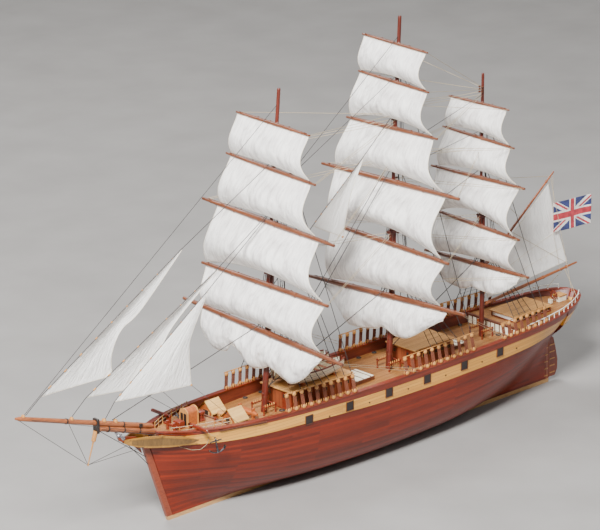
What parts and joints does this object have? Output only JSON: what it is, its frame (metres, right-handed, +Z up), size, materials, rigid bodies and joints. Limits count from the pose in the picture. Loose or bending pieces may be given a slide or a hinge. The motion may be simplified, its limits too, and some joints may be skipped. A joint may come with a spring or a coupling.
{
  "type": "three-masted clipper ship model",
  "caption": "Wooden display model of a full-rigged clipper under sail, with turning yards, swinging spanker, rudder, wheel and capstan.",
  "frame": {"origin": "middle of the keel's flat bottom, half way along the hull from the stem head", "axes": "+X aft, +Y starboard, +Z up"},
  "size_m": [1.0658, 0.316, 0.6064],
  "materials": {
    "hull_mahogany": "satin varnish",
    "limewood": "satin varnish",
    "dark_mahogany": "satin varnish",
    "spar_wood": "satin varnish",
    "mast_wood": "satin varnish",
    "deck_wood": "matt",
    "cream_paint": "matt paint",
    "sailcloth": "matt",
    "ensign_cloth": "matt",
    "anchor_metal": "satin"
  },
  "bodies": {
    "ship": {"hull_planking": "hull_mahogany", "keel_stem_and_sternpost": "hull_mahogany", "light_strake": "limewood", "rail_cap_with_deadeyes": "dark_mahogany", "main_deck_with_bow_houses": "deck_wood", "forecastle_deck": "deck_wood", "windlass": "spar_wood", "fore_deckhouse_with_boats": "cream_paint", "after_deckhouse": "cream_paint", "poop_deck": "deck_wood", "head_knee_and_trailboards": "limewood", "anchor_port": "anchor_metal", "anchor_starboard": "anchor_metal", "bowsprit_and_jibboom": "spar_wood", "fore_mast_with_stay": "mast_wood", "main_mast_with_stay": "mast_wood", "mizzen_mast_with_stay": "mast_wood", "flying_jib_on_stay": "sailcloth", "outer_jib_on_stay": "sailcloth", "inner_jib_on_stay": "sailcloth", "main_staysail_on_stay": "sailcloth"},
    "fore_yards": {"fore_course_yard": "spar_wood", "fore_course_sail": "sailcloth", "fore_lower_topsail_yard": "spar_wood", "fore_lower_topsail_sail": "sailcloth", "fore_upper_topsail_yard": "spar_wood", "fore_upper_topsail_sail": "sailcloth", "fore_topgallant_yard": "spar_wood", "fore_topgallant_sail": "sailcloth", "fore_royal_yard": "spar_wood", "fore_royal_sail": "sailcloth"},
    "main_yards": {"main_course_yard": "spar_wood", "main_course_sail": "sailcloth", "main_lower_topsail_yard": "spar_wood", "main_lower_topsail_sail": "sailcloth", "main_upper_topsail_yard": "spar_wood", "main_upper_topsail_sail": "sailcloth", "main_topgallant_yard": "spar_wood", "main_topgallant_sail": "sailcloth", "main_royal_yard": "spar_wood", "main_royal_sail": "sailcloth", "main_skysail_yard": "spar_wood", "main_skysail_sail": "sailcloth"},
    "mizzen_yards": {"mizzen_crossjack_yard": "spar_wood", "mizzen_crossjack_sail": "sailcloth", "mizzen_lower_topsail_yard": "spar_wood", "mizzen_lower_topsail_sail": "sailcloth", "mizzen_upper_topsail_yard": "spar_wood", "mizzen_upper_topsail_sail": "sailcloth", "mizzen_topgallant_yard": "spar_wood", "mizzen_topgallant_sail": "sailcloth", "mizzen_royal_yard": "spar_wood", "mizzen_royal_sail": "sailcloth"},
    "spanker": {"spanker_boom": "spar_wood", "spanker_gaff": "spar_wood", "spanker_sail": "sailcloth", "ensign": "ensign_cloth"},
    "rudder": {"rudder": "hull_mahogany"},
    "steering_wheel": {"steering_wheel": "spar_wood"},
    "capstan": {"capstan": "dark_mahogany"}
  },
  "joints": [
    {"name": "fore_yards_brace", "type": "hinge", "parent": "ship", "child": "fore_yards", "pos_m": [-0.17627, 0, 0.21875], "axis": [0.1028, 0, 0.9947], "range_deg": [-20, 20]},
    {"name": "main_yards_brace", "type": "hinge", "parent": "ship", "child": "main_yards", "pos_m": [0.05493, 0, 0.21875], "axis": [0.0692, 0, 0.9976], "range_deg": [-20, 20]},
    {"name": "mizzen_yards_brace", "type": "hinge", "parent": "ship", "child": "mizzen_yards", "pos_m": [0.23384, 0, 0.21875], "axis": [0.029, 0, 0.9996], "range_deg": [-20, 20]},
    {"name": "spanker_swing", "type": "hinge", "parent": "ship", "child": "spanker", "pos_m": [0.23755, 0, 0.1525], "axis": [0.029, 0, 0.9996], "range_deg": [-30, 30]},
    {"name": "rudder_hinge", "type": "hinge", "parent": "ship", "child": "rudder", "pos_m": [0.37462, 0, 0.0375], "axis": [0, 0, 1], "range_deg": [-35, 35]},
    {"name": "steering_wheel_spin", "type": "hinge", "parent": "ship", "child": "steering_wheel", "pos_m": [0.38562, 0, 0.1295], "axis": [1, 0, 0], "continuous": true},
    {"name": "capstan_spin", "type": "hinge", "parent": "ship", "child": "capstan", "pos_m": [-0.295, 0, 0.1275], "axis": [0, 0, 1], "continuous": true}
  ]
}
